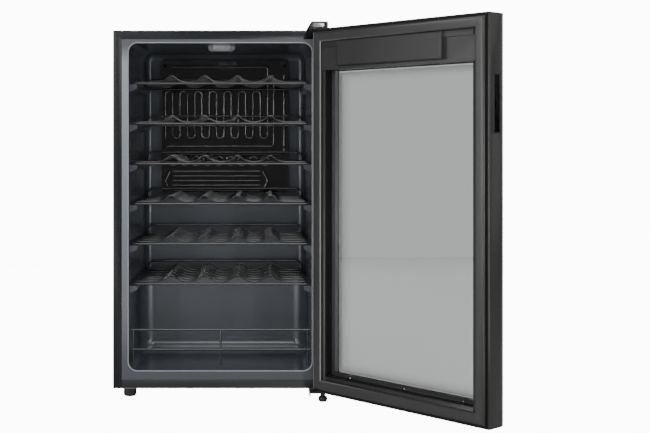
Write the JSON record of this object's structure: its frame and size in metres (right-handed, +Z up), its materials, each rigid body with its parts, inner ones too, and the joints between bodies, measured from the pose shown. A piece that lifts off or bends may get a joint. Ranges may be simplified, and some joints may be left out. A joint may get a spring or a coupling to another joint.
{
  "type": "wine cooler",
  "caption": "Free-standing wine cooler with a hinged double-glazed door, sliding wavy wire shelves, a bottle guard over a low bay and a compressor compartment behind.",
  "frame": {"origin": "on the floor, under the middle of the cabinet body (half of its width and half of its depth)", "axes": "+X towards the hinge side, +Y towards the back, +Z up"},
  "size_m": [0.7997, 0.7847, 0.84],
  "materials": {
    "cabinet_steel": "satin black paint",
    "sill_steel": "satin black paint",
    "galvanised_steel": "zinc coated sheet",
    "insulation_foam": "foamed in place, light and closed cell",
    "liner_plastic": "vacuum formed, dark grey, soft gloss",
    "compressor_paint": "gloss black enamel",
    "black_rubber": "moulded",
    "black_plastic": "fine grained",
    "copper_tube": "drawn copper tube",
    "condenser_paint": "black dip paint",
    "evaporator_black": "gloss black over pressed aluminium",
    "zinc_steel": "bright zinc",
    "lamp_clear": "clear moulded lens",
    "circuit_board": "green board",
    "black_wire": "black coated wire",
    "hinge_black": "black powder coat",
    "door_frame_black": "extruded profile, satin",
    "tinted_glass": "grey tinted pane with a printed dot border",
    "clear_glass": "clear float glass",
    "spacer_aluminium": "perforated spacer bar",
    "bead_plastic": "extruded",
    "gasket_vinyl": "soft vinyl",
    "magnet_strip": "flexible magnet",
    "handle_plastic": "moulded",
    "housing_plastic": "moulded, fine grain",
    "bush_nylon": "natural nylon"
  },
  "bodies": {
    "cabinet": {"side_panel_left": "cabinet_steel", "side_panel_right": "cabinet_steel", "top_panel": "cabinet_steel", "front_sill": "sill_steel", "foam_sides": "insulation_foam", "foam_top": "insulation_foam", "foam_floor": "insulation_foam", "foam_step": "insulation_foam", "foam_back": "insulation_foam", "ledge_cores": "insulation_foam", "inner_liner": "liner_plastic", "back_panel": "galvanised_steel", "bay_walls": "galvanised_steel", "base_pan": "galvanised_steel", "compressor": "compressor_paint", "compressor_grommets": "black_rubber", "terminal_box": "black_plastic", "refrigerant_tubes": "copper_tube", "filter_drier": "copper_tube", "condenser_tube": "condenser_paint", "condenser_wires": "condenser_paint", "drip_tray": "black_plastic", "drain_tube": "black_rubber", "control_box": "black_plastic", "cord_gland": "black_plastic", "evaporator_plate": "evaporator_black", "evaporator_screws": "zinc_steel", "lamp_lens": "lamp_clear", "lamp_board": "circuit_board", "temperature_probe": "black_plastic", "bottle_guard": "black_wire", "top_hinge_bracket": "zinc_steel", "top_hinge_cover": "black_plastic", "bottom_hinge_bracket": "hinge_black", "hinge_screws": "zinc_steel", "rear_feet": "black_rubber"},
    "door": {"door_stile_hinge": "door_frame_black", "door_stile_handle": "door_frame_black", "door_rail_bottom": "door_frame_black", "door_rail_top": "door_frame_black", "outer_glass": "tinted_glass", "inner_glass": "clear_glass", "glass_spacer": "spacer_aluminium", "glass_bead": "bead_plastic", "retainer_screws": "zinc_steel", "door_gasket": "gasket_vinyl", "gasket_magnets": "magnet_strip", "handle_insert": "handle_plastic", "control_housing": "housing_plastic", "control_board": "circuit_board", "hinge_bushes": "bush_nylon"},
    "shelf_body_1": {"shelf_1": "black_wire"},
    "shelf_body_2": {"shelf_2": "black_wire"},
    "shelf_body_3": {"shelf_3": "black_wire"},
    "shelf_body_4": {"shelf_4": "black_wire"},
    "shelf_body_5": {"shelf_5": "black_wire"},
    "shelf_body_6": {"shelf_6": "black_wire"},
    "left_foot": {"front_left_foot": "black_rubber"},
    "right_foot": {"front_right_foot": "black_rubber"}
  },
  "joints": [
    {"name": "door_hinge", "type": "hinge", "parent": "cabinet", "child": "door", "pos_m": [0.228, -0.2195, 0.4235], "axis": [0, 0, 1], "range_deg": [-132, 0]},
    {"name": "shelf_1_slide", "type": "slide", "parent": "cabinet", "child": "shelf_body_1", "axis": [0, -1, 0], "range_m": [0, 0.18]},
    {"name": "shelf_2_slide", "type": "slide", "parent": "cabinet", "child": "shelf_body_2", "axis": [0, -1, 0], "range_m": [0, 0.18]},
    {"name": "shelf_3_slide", "type": "slide", "parent": "cabinet", "child": "shelf_body_3", "axis": [0, -1, 0], "range_m": [0, 0.18]},
    {"name": "shelf_4_slide", "type": "slide", "parent": "cabinet", "child": "shelf_body_4", "axis": [0, -1, 0], "range_m": [0, 0.18]},
    {"name": "shelf_5_slide", "type": "slide", "parent": "cabinet", "child": "shelf_body_5", "axis": [0, -1, 0], "range_m": [0, 0.18]},
    {"name": "shelf_6_slide", "type": "slide", "parent": "cabinet", "child": "shelf_body_6", "axis": [0, -1, 0], "range_m": [0, 0.18]},
    {"name": "left_foot_screw", "type": "hinge", "parent": "cabinet", "child": "left_foot", "pos_m": [-0.2055, -0.1575, 0.012], "axis": [0, 0, 1], "continuous": true},
    {"name": "right_foot_screw", "type": "hinge", "parent": "cabinet", "child": "right_foot", "pos_m": [0.228, -0.2195, 0.006], "axis": [0, 0, 1], "continuous": true}
  ]
}
